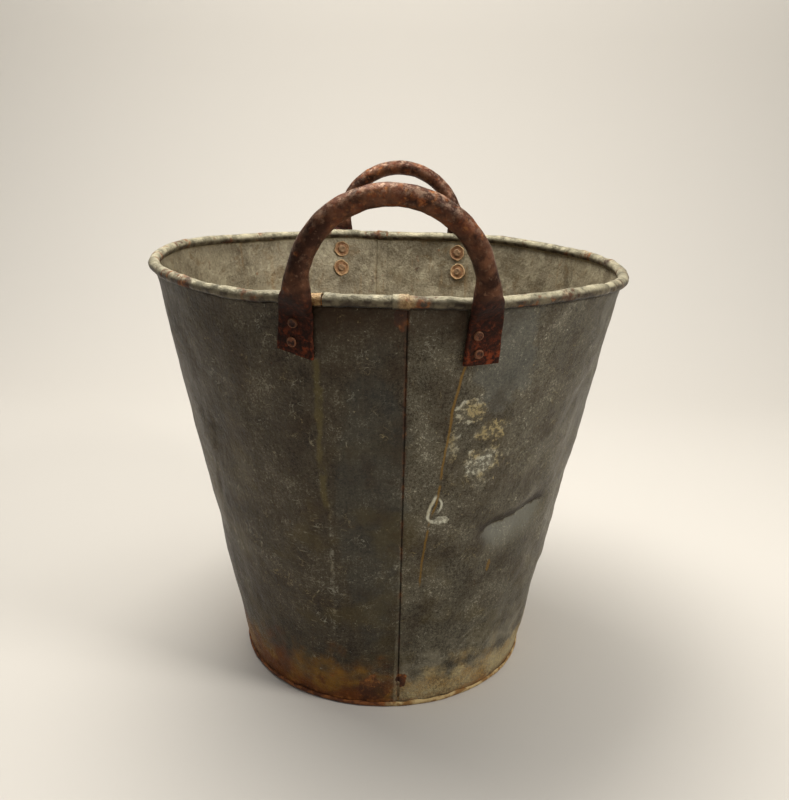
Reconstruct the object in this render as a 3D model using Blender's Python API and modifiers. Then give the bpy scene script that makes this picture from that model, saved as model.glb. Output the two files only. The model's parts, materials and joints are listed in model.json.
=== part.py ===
"""Florist bucket: a tapered, galvanised sheet-steel flower bucket with two riveted tube handles.

Metres, +Z up, origin on the floor under the middle of the base. The two handles stand at -Y (front)
and +Y (rear); the two lap seams of the body run up the front and the rear, beside the middle.
"""

from math import atan2, cos, degrees, hypot, pi, radians, sin, sqrt

import bmesh
import bpy
from mathutils import Matrix, Vector

# ---------------------------------------------------------------- driving dimensions
SHEET = 0.0010            # thickness of the body and base sheet
GAP = 0.0003              # clearance between pieces that touch

RIM_Z = 0.4268            # height of the middle of the rolled rim
WALL_LOW_R = 0.1527       # outer radius of the wall, carried down to the floor
WALL_RIM_R = 0.2355       # outer radius of the wall, carried up to the rim's middle
TURN_STEP = 6             # degrees between the lines of facets round the body

WIRE_R = 0.0040           # round wire inside the rim
BEND_R = 0.0025           # bend from the wall in towards the roll
ROLL_STEP = 25            # degrees between the facets of the roll
ROLL_END = -50            # angle at which the roll stops, outside and low (0 is straight out)
WIRE_AZIMUTH = 30         # where the wire's two ends meet, in degrees from the front
WIRE_BUTT = 0.0012        # space between the wire's ends

LAP_IN = 0.0050           # edge of the inner tongue, measured round the body from the middle
LAP_OUT = 0.0165          # edge of the outer sheet
JOG_START = 0.0170        # the inner sheet steps in between these two
JOG_END = 0.0190
NOTCH_Z = 0.0340          # the tongue is cut away below here, to clear the base pan

BASE_Z = 0.0300           # middle of the base sheet: the base is recessed
BASE_BEND_R = 0.0030
HEM_TOP_Z = 0.0060        # upper edge of the hem that wraps the body's lower edge

TUBE_R = 0.0092           # handle tube
TUBE_WALL = 0.0015
FOOT_HALF_T = 0.0020      # the tube's ends are flattened into feet
FOOT_HALF_W = 0.0150
FOOT_LOW_Z = 0.3775
FOOT_TOP_Z = 0.4130       # the flat part of a foot ends here
CLEAR_Z = 0.4360          # a leg has swung out past the rim here
ROUND_Z = 0.4500          # the tube is round again here
SPRING_Z = 0.4386         # the arch springs from the legs here
LEG_OUT = 0.0152          # distance of a leg's middle from the wall's outer face, above the rim

RIVET_R = 0.0025
RIVET_HOLE_R = 0.0028
RIVET_HEAD_R = 0.0042
RIVET_HEAD_H = 0.0018
TAIL_R = 0.0043
TAIL_H = 0.0018
WASHER_SET_IN = 0.0009    # from the wall's inner face, so that a flat washer clears its curve
WASHER_FLOOR = 0.0010
WASHER_LIP = 0.0022

# Each handle: the side that it is on, its middle, the radii of its arch and of its washers, and for
# each foot the sideways position at its lower edge and at the top of its flat part, then its two
# rivets (x, z).
HANDLES = {
    "front": {
        "side": -1, "middle": 0.0035, "arch": 0.0742, "washer": 0.0076,
        "feet": {
            "left": (-0.0728, -0.0715, (-0.0743, 0.3915), (-0.0730, 0.4080)),
            "right": (0.0772, 0.0795, (0.0739, 0.3858), (0.0731, 0.4015)),
        },
    },
    "rear": {
        "side": 1, "middle": 0.0108, "arch": 0.0718, "washer": 0.0098,
        "feet": {
            "left": (-0.0640, -0.0625, (-0.0640, 0.3850), (-0.0636, 0.4080)),
            "right": (0.0856, 0.0840, (0.0856, 0.3850), (0.0846, 0.4080)),
        },
    },
}

TAPER = (WALL_RIM_R - WALL_LOW_R) / RIM_Z
LEAN = atan2(WALL_RIM_R - WALL_LOW_R, RIM_Z)
ROLL_R = WIRE_R + GAP + SHEET / 2       # middle of the sheet round the wire
HEM_R = SHEET + GAP                     # middle of the base sheet where it folds round the body's edge
HEM_FLAT = radians(22.5)                # the hem's lowest facet spans this on each side, and is level
# Lower edge of the body panels: it puts the hem's lowest facet on the floor.
BODY_LOW_Z = HEM_R * cos(HEM_FLAT) + (1 - sin(LEAN)) * SHEET / 2


# ---------------------------------------------------------------- small tools
def clear_scene():
    for thing in list(bpy.data.objects):
        bpy.data.objects.remove(thing, do_unlink=True)


def new_collection(name):
    collection = bpy.data.collections.new(name)
    bpy.context.scene.collection.children.link(collection)
    return collection


def material(name, colour, roughness, metallic):
    made = bpy.data.materials.new(name)
    made.use_nodes = True
    shader = made.node_tree.nodes["Principled BSDF"]
    shader.inputs["Base Color"].default_value = (*colour, 1.0)
    shader.inputs["Roughness"].default_value = roughness
    shader.inputs["Metallic"].default_value = metallic
    return made


def add_object(name, mesh, collection, finish=None):
    thing = bpy.data.objects.new(name, mesh)
    collection.objects.link(thing)
    if finish:
        mesh.materials.clear()
        mesh.materials.append(finish)
    return thing


def mesh_from(name, points, faces):
    mesh = bpy.data.meshes.new(name)
    mesh.from_pydata([tuple(point) for point in points], [], faces)
    mesh.update()
    mesh.shade_smooth()
    mesh.set_sharp_from_angle(angle=radians(32))
    return mesh


def solidify(thing, thickness, offset=0.0):
    shell = thing.modifiers.new("thickness", "SOLIDIFY")
    shell.thickness = thickness
    shell.offset = offset
    shell.use_even_offset = True


def turn(thing, steps):
    screw = thing.modifiers.new("turn", "SCREW")
    screw.axis = "Z"
    screw.steps = steps
    screw.render_steps = steps
    screw.use_merge_vertices = True
    screw.merge_threshold = 0.00001
    screw.use_smooth_shade = True


def profile_mesh(name, outline, closed):
    points = [(x, 0.0, z) for x, z in outline]
    edges = [(i, i + 1) for i in range(len(points) - 1)]
    if closed:
        edges.append((len(points) - 1, 0))
    mesh = bpy.data.meshes.new(name)
    mesh.from_pydata(points, edges, [])
    return mesh


def smoothstep(low, high, value):
    share = min(1.0, max(0.0, (value - low) / (high - low)))
    return share * share * (3 - 2 * share)


def wall_radius(z):
    """Outer radius of the wall at a height."""
    return WALL_LOW_R + TAPER * z


def on_wall(x, z, side):
    """Point of the wall's outer face at a sideways position and height, at the front or the rear."""
    radius = wall_radius(z)
    return Vector((x, side * sqrt(radius * radius - x * x), z))


def wall_normal(point):
    """Outward normal of the wall's outer face."""
    flat = hypot(point.x, point.y)
    return Vector((point.x / flat * cos(LEAN), point.y / flat * cos(LEAN), -sin(LEAN)))


# ---------------------------------------------------------------- body panels and rim wire
def body_profile():
    """Middle of the sheet, (radius, height, inward normal), from the lower edge to the roll's end.

    The sheet runs up the wall, bends inwards under the wire, and rolls round the wire: up the
    inside, over the top and down the outside.
    """
    along = Vector((sin(LEAN), cos(LEAN)))
    inward = Vector((-cos(LEAN), sin(LEAN)))
    middle = inward * (SHEET / 2)
    rim = Vector((WALL_RIM_R, RIM_Z)) + middle
    rise = sqrt((BEND_R + ROLL_R) ** 2 - BEND_R ** 2)
    profile = []
    for z in (BODY_LOW_Z, NOTCH_Z, 0.5 * RIM_Z):
        profile.append((Vector((wall_radius(z), z)) + middle, inward))
    bend_middle = rim - along * rise + inward * BEND_R
    swing = pi / 2 - atan2(BEND_R, rise)
    for step in range(4):
        angle = swing * step / 3
        out = -inward * cos(angle) + along * sin(angle)
        profile.append((bend_middle + out * BEND_R, -out))
    start = 180 + degrees(atan2(rise, BEND_R))
    count = round((start - ROLL_END) / ROLL_STEP)
    for step in range(1, count + 1):
        angle = radians(start + (ROLL_END - start) * step / count)
        out = -inward * cos(angle) + along * sin(angle)
        profile.append((rim + out * ROLL_R, out))
    return profile


def rim_middle():
    """(radius, height) of the middle of the wire."""
    return WALL_RIM_R - cos(LEAN) * SHEET / 2, RIM_Z + sin(LEAN) * SHEET / 2


SEAM_LINES = (          # distance round the body from its middle, and the share of the inward step
    (LAP_IN, 1.0), ((LAP_IN + LAP_OUT) / 2, 1.0), (JOG_START, 1.0), (JOG_END, 0.0),
)


def panel_angles(radius):
    """Angles of a panel's lines of facets, in radians from the front, at one radius."""
    angles = [(distance / radius, step) for distance, step in SEAM_LINES]
    angles += [(radians(a), 0.0) for a in range(2 * TURN_STEP, 180, TURN_STEP)]
    angles += [(pi, 0.0)]
    angles += [(pi + distance / radius, 0.0) for distance in (LAP_IN, LAP_OUT)]
    return angles


def panel_mesh(name, half_turn):
    profile = body_profile()
    columns = len(panel_angles(WALL_RIM_R))
    points = []
    for spot, inward in profile:
        for angle, step in panel_angles(wall_radius(min(spot.y, RIM_Z))):
            moved = spot + inward * (step * (SHEET + GAP))
            angle += half_turn
            points.append((moved.x * sin(angle), -moved.x * cos(angle), moved.y))
    faces = []
    for row in range(len(profile) - 1):
        below_notch = profile[row][0].y < NOTCH_Z - GAP
        first = len(SEAM_LINES) - 1 if below_notch else 0
        for column in range(first, columns - 1):
            corner = row * columns + column
            faces.append((corner, corner + 1, corner + columns + 1, corner + columns))
    mesh = mesh_from(name, points, faces)
    work = bmesh.new()
    work.from_mesh(mesh)
    loose = [v for v in work.verts if not v.link_faces]
    bmesh.ops.delete(work, geom=loose, context="VERTS")
    work.to_mesh(mesh)
    work.free()
    return mesh


def rim_wire(collection, finish):
    """Round wire bent into a ring, its ends butted inside the roll."""
    radius, height = rim_middle()
    full = 2 * pi
    seam = [distance / WALL_RIM_R for distance, _ in SEAM_LINES] + [LAP_OUT / WALL_RIM_R]
    angles = set(round(radians(a), 9) for a in range(0, 360, TURN_STEP) if a % 180 != TURN_STEP)
    angles |= set(round(angle + half, 9) for angle in seam for half in (0.0, pi))
    start = radians(WIRE_AZIMUTH)
    around = sorted((angle - start) % full for angle in angles)
    half_gap = WIRE_BUTT / 2 / radius
    around = [half_gap] + [a for a in around if half_gap < a < full - half_gap] + [full - half_gap]
    curve = bpy.data.curves.new("rim_wire_path", "CURVE")
    curve.dimensions = "3D"
    curve.bevel_depth = WIRE_R
    curve.bevel_resolution = 2
    curve.use_fill_caps = True
    spline = curve.splines.new("POLY")
    spline.points.add(len(around) - 1)
    for point, angle in zip(spline.points, around):
        angle += start
        point.co = (radius * sin(angle), -radius * cos(angle), height, 1.0)
    path = bpy.data.objects.new("rim_wire_path", curve)
    collection.objects.link(path)
    made = bpy.data.meshes.new_from_object(path.evaluated_get(bpy.context.evaluated_depsgraph_get()))
    bpy.data.objects.remove(path, do_unlink=True)
    work = bmesh.new()
    work.from_mesh(made)
    bmesh.ops.remove_doubles(work, verts=work.verts, dist=0.00001)
    work.to_mesh(made)
    work.free()
    made.shade_smooth()
    made.set_sharp_from_angle(angle=radians(50))
    return add_object("rim_wire", made, collection, finish)


# ---------------------------------------------------------------- base pan
def base_pan(collection, finish):
    """Recessed base: a disc, a flange down inside the body, and a hem round the body's lower edge."""
    along = Vector((sin(LEAN), cos(LEAN)))
    outward = Vector((cos(LEAN), -sin(LEAN)))
    wall_middle = Vector((wall_radius(BODY_LOW_Z), BODY_LOW_Z)) - outward * (SHEET / 2)
    flange_low = wall_middle - outward * HEM_R
    rise = (BASE_Z - BASE_BEND_R - flange_low.y) / along.y
    flange_top = flange_low + along * rise
    outline = [(0.0, BASE_Z), (0.5 * flange_top.x, BASE_Z)]
    bend_x = flange_top.x - BASE_BEND_R / cos(LEAN)
    for step in range(4):
        angle = pi / 2 - (pi / 2 + LEAN) * step / 3
        outline.append((bend_x + BASE_BEND_R * cos(angle), BASE_Z + BASE_BEND_R * (sin(angle) - 1)))
    outline.append(tuple(flange_low))
    down = 1.5 * pi
    inside = (pi - LEAN + down - HEM_FLAT) / 2
    outside = (2 * pi - LEAN + down + HEM_FLAT) / 2
    for swing in (inside, down - HEM_FLAT, down + HEM_FLAT, outside, 2 * pi - LEAN):
        outline.append((wall_middle.x + HEM_R * cos(swing), wall_middle.y + HEM_R * sin(swing)))
    up = (HEM_TOP_Z - outline[-1][1]) / along.y
    outline.append((outline[-1][0] + along.x * up, HEM_TOP_Z))
    pan = add_object("base_pan", profile_mesh("base_pan", outline, False), collection, finish)
    turn(pan, 360 // TURN_STEP)
    solidify(pan, SHEET)
    return pan


# ---------------------------------------------------------------- handles
def section(half_t, half_w, inset):
    """Flattened-tube section: two half rounds with flats between them, (sideways, through)."""
    sides = 12
    flat = half_w - half_t
    radius = half_t - inset
    ring = []
    for k in range(sides):
        angle = 2 * pi * (k + 0.5) / sides
        push = flat if cos(angle) > 0 else -flat
        ring.append((push + radius * cos(angle), radius * sin(angle)))
    return ring


def leg_station(low_x, high_x, z, side, spring_x):
    """Middle of a leg at a height, and the direction through its thickness."""
    share = (z - FOOT_LOW_Z) / (FOOT_TOP_Z - FOOT_LOW_Z)
    x = low_x + (high_x - low_x) * min(share, 1.0)
    x += (spring_x - x) * smoothstep(FOOT_TOP_Z, SPRING_Z, z)
    wall = on_wall(x, z, side)
    normal = wall_normal(wall)
    foot_out = GAP + FOOT_HALF_T
    out = foot_out + (LEG_OUT - foot_out) * smoothstep(FOOT_TOP_Z, CLEAR_Z, z)
    return wall + normal * out, normal


def handle_path(handle):
    """Stations along a handle from its left foot to its right: (middle, through, flatness)."""
    side, middle, arch = handle["side"], handle["middle"], handle["arch"]
    heights = [FOOT_LOW_Z, FOOT_TOP_Z] + [
        FOOT_TOP_Z + (SPRING_Z - FOOT_TOP_Z) * share for share in (0.2, 0.4, 0.6, 0.8, 1.0)
    ]
    legs = {}
    for foot, hand in (("left", -1), ("right", 1)):
        low_x, high_x = handle["feet"][foot][:2]
        spring_x = middle + hand * arch
        legs[foot] = [leg_station(low_x, high_x, z, side, spring_x) for z in heights]
    ends = legs["left"][-1][0], legs["right"][-1][0]
    centre = (ends[0] + ends[1]) / 2
    across = (ends[1] - ends[0]) / 2
    up = Vector((0.0, side * sin(LEAN), cos(LEAN)))
    face = across.cross(up).normalized()
    if face.y * side < 0:
        face = -face
    arch_stations = []
    for step in range(1, 12):
        angle = pi * (1 - step / 12)
        arch_stations.append((centre + across * cos(angle) + up * (across.length * sin(angle)), face))
    return legs["left"] + arch_stations + legs["right"][::-1]


def handle_mesh(name, handle):
    """Steel tube bent into an arch, hollow and open at its two flattened ends."""
    stations = handle_path(handle)
    rings = {"outer": [], "inner": []}
    for i, (middle, through) in enumerate(stations):
        before = stations[max(i - 1, 0)][0]
        after = stations[min(i + 1, len(stations) - 1)][0]
        tangent = (after - before).normalized()
        sideways = tangent.cross(through).normalized()
        through = sideways.cross(tangent).normalized()
        share = smoothstep(FOOT_TOP_Z, ROUND_Z, middle.z)
        half_t = FOOT_HALF_T + (TUBE_R - FOOT_HALF_T) * share
        half_w = TUBE_R + (FOOT_HALF_W - TUBE_R) * (1 - share) ** 0.6
        for ring, inset in (("outer", 0.0), ("inner", TUBE_WALL)):
            rings[ring].append([
                middle + sideways * a + through * b for a, b in section(half_t, half_w, inset)
            ])
    sides = len(rings["outer"][0])
    points = [point for ring in ("outer", "inner") for loop in rings[ring] for point in loop]
    count = len(stations)
    faces = []
    for layer in (0, 1):
        for i in range(count - 1):
            for k in range(sides):
                a = (layer * count + i) * sides + k
                b = (layer * count + i) * sides + (k + 1) % sides
                quad = (a, b, b + sides, a + sides)
                faces.append(quad if layer == 0 else quad[::-1])
    for i in (0, count - 1):
        for k in range(sides):
            a, b = i * sides + k, i * sides + (k + 1) % sides
            inner = count * sides
            quad = (a, a + inner, b + inner, b)
            faces.append(quad if i == 0 else quad[::-1])
    mesh = mesh_from(name, points, faces)
    work = bmesh.new()
    work.from_mesh(mesh)
    bmesh.ops.recalc_face_normals(work, faces=work.faces)
    work.to_mesh(mesh)
    work.free()
    return mesh


# ---------------------------------------------------------------- rivets, washers and their holes
def rivet_outline():
    """Half outline of a set rivet, axis outward: its head, shank and hammered tail.

    Heights are measured from the wall's outer face.
    """
    seat = 2 * GAP + 2 * FOOT_HALF_T
    head = seat + RIVET_HEAD_H
    tail = -SHEET - WASHER_SET_IN - WASHER_FLOOR - GAP
    low = tail - TAIL_H
    return [
        (0.0, head), (0.65 * RIVET_HEAD_R, head - 0.0001), (RIVET_HEAD_R, head - 0.0007),
        (RIVET_HEAD_R, seat), (RIVET_R, seat),
        (RIVET_R, tail), (TAIL_R, tail), (TAIL_R, tail - 0.5 * TAIL_H),
        (0.7 * TAIL_R, low), (0.0, low),
    ]


def washer_outline(radius):
    """Closed outline of a cupped washer: a flat floor with a raised lip round it."""
    top = -SHEET - WASHER_SET_IN
    floor = top - WASHER_FLOOR
    lip = top - WASHER_LIP
    return [
        (RIVET_HOLE_R, top), (radius, top), (radius, lip + 0.0008),
        (radius - 0.0008, lip), (radius - 0.0016, lip), (radius - 0.0024, floor),
        (RIVET_HOLE_R, floor),
    ]


def rivet_frame(x, z, side):
    """Matrix that stands a turned piece on the wall at a rivet, its axis along the wall's normal."""
    spot = on_wall(x, z, side)
    normal = wall_normal(spot)
    return Matrix.Translation(spot) @ Vector((0, 0, 1)).rotation_difference(normal).to_matrix().to_4x4()


def hole_cutter(name, frame, collection):
    """Cylinder that drills one rivet hole through foot and wall."""
    mesh = bpy.data.meshes.new(name)
    work = bmesh.new()
    bmesh.ops.create_cone(
        work, cap_ends=True, segments=12, radius1=RIVET_HOLE_R, radius2=RIVET_HOLE_R, depth=0.016)
    work.to_mesh(mesh)
    work.free()
    cutter = add_object(name, mesh, collection)
    cutter.matrix_world = frame
    cutter.hide_render = True
    cutter.display_type = "WIRE"
    return cutter


def drill(thing, cutter):
    hole = thing.modifiers.new(cutter.name, "BOOLEAN")
    hole.operation = "DIFFERENCE"
    hole.solver = "EXACT"
    hole.object = cutter


# ---------------------------------------------------------------- assembly
def main():
    clear_scene()
    parts = new_collection("florist_bucket")
    cutters = new_collection("cutters")

    body_steel = material("body_steel", (0.17, 0.17, 0.14), 0.55, 0.8)
    base_steel = material("base_steel", (0.19, 0.17, 0.13), 0.60, 0.8)
    wire_steel = material("wire_steel", (0.16, 0.09, 0.05), 0.75, 0.6)
    handle_steel = material("handle_steel", (0.10, 0.055, 0.035), 0.60, 0.7)
    rivet_steel = material("rivet_steel", (0.20, 0.10, 0.05), 0.65, 0.7)
    washer_steel = material("washer_steel", (0.24, 0.15, 0.08), 0.65, 0.7)

    panels = {}
    for name, half_turn in (("right", 0.0), ("left", pi)):
        label = "body_panel_" + name
        panels[name] = add_object(label, panel_mesh(label, half_turn), parts, body_steel)
        solidify(panels[name], SHEET)
    rim_wire(parts, wire_steel)
    base_pan(parts, base_steel)

    rivet_mesh = profile_mesh("rivet", rivet_outline(), False)
    for where, handle in HANDLES.items():
        label = where + "_handle"
        washer_mesh = profile_mesh(where + "_washer", washer_outline(handle["washer"]), True)
        tube = add_object(label, handle_mesh(label, handle), parts, handle_steel)
        for foot, (_, _, *rivets) in handle["feet"].items():
            for level, (x, z) in zip(("lower", "upper"), rivets):
                spot = f"{where}_{foot}_{level}"
                frame = rivet_frame(x, z, handle["side"])
                for kind, mesh, finish in (
                    ("rivet", rivet_mesh, rivet_steel), ("washer", washer_mesh, washer_steel),
                ):
                    piece = add_object(f"{spot}_{kind}", mesh, parts, finish)
                    piece.matrix_world = frame
                    turn(piece, 12)
                cutter = hole_cutter(f"hole_{spot}", frame, cutters)
                drill(tube, cutter)
                drill(panels[foot], cutter)


main()
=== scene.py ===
"""Florist bucket: the visual model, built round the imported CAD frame.

Metres, +Z up, front handle at -Y. Azimuth is measured round the bucket from the front, towards +X.
"""

import json
from math import atan2, cos, degrees, hypot, pi, radians, sin, sqrt

import bmesh
import bpy
import numpy as np
from mathutils import Matrix, Vector, noise


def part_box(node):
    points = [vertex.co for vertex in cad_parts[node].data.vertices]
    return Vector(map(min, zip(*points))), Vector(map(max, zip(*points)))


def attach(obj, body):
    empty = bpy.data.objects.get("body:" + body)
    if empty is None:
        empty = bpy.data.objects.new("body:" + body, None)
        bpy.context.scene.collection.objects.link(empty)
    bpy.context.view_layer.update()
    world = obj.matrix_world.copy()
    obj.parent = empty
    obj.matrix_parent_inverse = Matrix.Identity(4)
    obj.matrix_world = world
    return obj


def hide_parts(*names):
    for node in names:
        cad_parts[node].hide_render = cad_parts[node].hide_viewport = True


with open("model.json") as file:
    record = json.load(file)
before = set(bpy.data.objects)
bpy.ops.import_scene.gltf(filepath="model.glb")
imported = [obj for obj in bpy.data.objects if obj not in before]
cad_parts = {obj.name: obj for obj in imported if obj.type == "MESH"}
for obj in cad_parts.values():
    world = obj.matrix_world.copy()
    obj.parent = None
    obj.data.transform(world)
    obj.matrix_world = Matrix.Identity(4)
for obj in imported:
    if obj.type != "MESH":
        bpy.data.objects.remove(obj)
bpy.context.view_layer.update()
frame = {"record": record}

# ---------------- sizes, from the frame
SHEET = 0.0010
LAP_GAP = 0.0001            # daylight between the two sheets of a lap seam
ROLL_GAP = 0.0002           # daylight between the rim wire and the sheet rolled round it
BEND_R = 0.0025
ROLL_END = -52              # the roll's edge, in degrees round the wire (0 straight out, 90 up)
LAP_IN = 0.0050
LAP_OUT = 0.0165
JOG_START, JOG_END = 0.0170, 0.0187
NOTCH_Z = 0.0302
HEM_TOP_Z = 0.0060
BASE_Z = 0.0300
BASE_BEND_R = 0.0030
BASE_SAG = 0.0016
BODY_LOW_Z = 0.0021

wire_low, wire_high = (np.array(corner, float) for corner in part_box("rim_wire"))
WIRE_R = (wire_high[2] - wire_low[2]) / 2
RIM_Z = (wire_high[2] + wire_low[2]) / 2
RIM_R = (wire_high[0] - wire_low[0]) / 2 - WIRE_R
hem_spot = next(m["pos_m"] for m in frame["record"]["mounts"] if m["name"] == "foot_hem")
HEM_R = hypot(hem_spot[0], hem_spot[1])
LEAN = atan2(RIM_R - HEM_R, RIM_Z - BODY_LOW_Z)
ROLL_R = WIRE_R + ROLL_GAP + SHEET / 2

TUBE_R = 0.0089
TUBE_WALL = 0.0015
FOOT_HALF_T = 0.0020
FOOT_HALF_W = 0.0150
FOOT_TOP_Z = 0.4130
CLEAR_Z = 0.4360
ROUND_Z = 0.4500
SPRING_Z = 0.4386
LEG_OUT = 0.0152
FOOT_OUT = 0.0003 + FOOT_HALF_T

# Each handle: the side that it is on, its middle, the half width and the rise of its arch, and the
# radius of its washers. Each foot: sideways position at its lower edge and at the top of its flat
# part, height of its lower edge, and how much that edge rises to the right (as a slope).
HANDLES = {
    "front": {
        "side": -1, "middle": 0.0043, "arch": 0.0697, "rise": 0.0776, "washer": 0.0076,
        "feet": {"left": (-0.0728, -0.0712, 0.3806, -0.14), "right": (0.0772, 0.0797, 0.3757, 0.045)},
    },
    "rear": {
        "side": 1, "middle": 0.0096, "arch": 0.0690, "rise": 0.0752, "washer": 0.0098,
        "feet": {"left": (-0.0640, -0.0625, 0.3768, 0.03), "right": (0.0856, 0.0840, 0.3775, -0.05)},
    },
}

VIEW_PLACE = (0.008, -0.9194, 0.5583)
VIEW_PITCH, VIEW_ROLL = 0.2974, 0.0198      # radians
VIEW_LENS, VIEW_FRAME = 39.98, 36.0         # millimetres
WARM = (1.0, 0.985, 0.96)

RIM_TILT = -0.0107          # the rim's rise per metre towards +X
SPLIT_AZ = radians(-12.2)   # the crack across the rolled rim
WALL_ROWS, BEND_ROWS, ROLL_ROWS = 130, 6, 27
WIRE_SIDES, WIRE_STEPS = 16, 420
TUBE_SIDES, ARCH_STEPS = 40, 84
BASE_STEPS, RIVET_STEPS = 360, 40
RIVET_ROUGH = 0.0005        # unevenness of the rivets and washers
KNOCKS = 64
UV_R = 0.2                  # azimuth times this is the skin map's u


# ---------------- small tools
def smoothstep(low, high, value):
    share = np.clip((np.asarray(value, float) - low) / (high - low), 0.0, 1.0)
    return share * share * (3 - 2 * share)


def bump_of(distance):
    """Soft bell: 1 at 0, 0 from 1 on."""
    share = np.clip(1 - np.asarray(distance, float) ** 2, 0.0, 1.0)
    return share * share


def grain(points, size, seed=0.0):
    """Smooth noise, about -0.5 to 0.5, with lumps of a size in metres."""
    flat = np.asarray(points, float).reshape(-1, 3) / size + seed * 7.31
    values = np.fromiter((noise.noise(Vector(p)) for p in flat), float, len(flat))
    return values.reshape(np.asarray(points).shape[:-1])


def wall_radius(z):
    """Radius of the middle of the wall's sheet."""
    return HEM_R + (np.asarray(z, float) - BODY_LOW_Z) * np.tan(LEAN)


def away_from(azimuth, centre):
    """Angle from a centre to an azimuth, -pi to pi."""
    return (azimuth - centre + pi) % (2 * pi) - pi


def polar(radius, azimuth, z):
    """Points at a radius, azimuth and height."""
    return np.stack(np.broadcast_arrays(radius * np.sin(azimuth), -radius * np.cos(azimuth), z), -1)


def rim_sway(azimuth):
    """How far the rim stands above its level, which wavers round the bucket."""
    return 0.0016 * np.sin(azimuth * 3 + 0.6) + 0.0009 * np.sin(azimuth * 7 + 2.0)


def tilt(points):
    """Lifts and lowers the upper part of the bucket, whose rim isn't quite level."""
    points = np.array(points, float)
    points[..., 2] += RIM_TILT * points[..., 0] * smoothstep(0.15, 0.42, points[..., 2])
    return points


def put(name, points, faces, uv=None, smooth_angle=40):
    """Mesh object from point and face lists, with an optional skin map (one uv for each point)."""
    mesh = bpy.data.meshes.new(name)
    mesh.from_pydata([tuple(p) for p in np.asarray(points, float).tolist()], [], faces)
    mesh.update()
    if uv is not None:
        layer = mesh.uv_layers.new(name="skin")
        corners = np.empty(len(mesh.loops), int)
        mesh.loops.foreach_get("vertex_index", corners)
        layer.data.foreach_set("uv", np.asarray(uv, float)[corners].ravel())
        for axis, label in enumerate("uv"):
            spread = mesh.attributes.new(label + "_metres", "FLOAT", "POINT")
            spread.data.foreach_set("value", np.ascontiguousarray(np.asarray(uv, float)[:, axis]))
    mesh.shade_smooth()
    if smooth_angle:
        mesh.set_sharp_from_angle(angle=radians(smooth_angle))
    thing = bpy.data.objects.new(name, mesh)
    bpy.context.scene.collection.objects.link(thing)
    return thing


def attribute(thing, name, values):
    layer = thing.data.attributes.new(name, "FLOAT", "POINT")
    layer.data.foreach_set("value", np.asarray(values, float).ravel())


def turn_outward(thing):
    """Drops points that no face uses, and turns every face outward."""
    work = bmesh.new()
    work.from_mesh(thing.data)
    bmesh.ops.delete(work, geom=[v for v in work.verts if not v.link_faces], context="VERTS")
    bmesh.ops.recalc_face_normals(work, faces=work.faces)
    work.to_mesh(thing.data)
    work.free()


def finish_piece(thing, slot, material, *nodes):
    thing.data.materials.clear()
    thing.data.materials.append(material)
    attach(thing, "root")
    if nodes:
        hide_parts(*nodes)


# ---------------- damage to the sheet
# Broad dents: azimuth in degrees, height, half width and half height in metres, depth inwards.
DENTS = [
    (36, 0.193, 0.060, 0.030, 0.0022), (62, 0.300, 0.060, 0.045, 0.0010),
    (48, 0.345, 0.045, 0.030, -0.0012), (80, 0.100, 0.060, 0.040, 0.0013),
    (84, 0.046, 0.050, 0.024, -0.0012), (22, 0.120, 0.050, 0.040, 0.0010),
    (-30, 0.330, 0.030, 0.040, 0.0012), (-46, 0.270, 0.035, 0.060, 0.0016),
    (-62, 0.360, 0.040, 0.050, -0.0014), (-34, 0.150, 0.040, 0.050, 0.0012),
    (-72, 0.170, 0.045, 0.060, 0.0018), (-8, 0.215, 0.024, 0.080, 0.0007),
    (118, 0.260, 0.060, 0.050, 0.0024), (150, 0.120, 0.050, 0.050, -0.0016),
    (-120, 0.300, 0.055, 0.045, 0.0022), (-150, 0.150, 0.060, 0.040, 0.0018),
    (138, 0.350, 0.040, 0.030, 0.0016), (-98, 0.090, 0.060, 0.035, 0.0020),
    (160, 0.260, 0.030, 0.060, 0.0010), (-165, 0.340, 0.030, 0.030, 0.0010),
]
# Creases: from (azimuth, height) to (azimuth, height), depth, reach above it and below it.
CREASES = [
    (29.0, 0.200, 53.0, 0.2165, 0.0080, 0.0150, 0.028),
    (26.0, 0.188, 45.0, 0.178, -0.0010, 0.010, 0.008),
    (-20.0, 0.066, 1.0, 0.040, 0.0010, 0.004, 0.008),
    (56.0, 0.330, 70.0, 0.352, 0.0014, 0.005, 0.012),
    (-58.0, 0.200, -50.0, 0.300, 0.0012, 0.006, 0.012),
    (118.0, 0.330, 134.0, 0.356, 0.0020, 0.006, 0.016),
    (-140.0, 0.230, -118.0, 0.205, 0.0022, 0.006, 0.018),
    (150.0, 0.372, 158.0, 0.350, 0.0016, 0.005, 0.010),
]
# Small knocks all over, like the creases: short, shallow and every which way.
dice = np.random.default_rng(11)
for _ in range(KNOCKS):
    knock_az, knock_z = dice.uniform(-178, 178), dice.uniform(0.05, 0.385)
    lean, length = dice.uniform(-1.2, 1.2), dice.uniform(0.008, 0.026)
    turn = degrees(length * cos(lean) / 0.19)
    CREASES.append((
        knock_az, knock_z, knock_az + turn, knock_z + length * sin(lean),
        dice.uniform(0.0005, 0.0014) * dice.choice([1, 1, -0.7]),
        dice.uniform(0.003, 0.006), dice.uniform(0.006, 0.014)))
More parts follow.
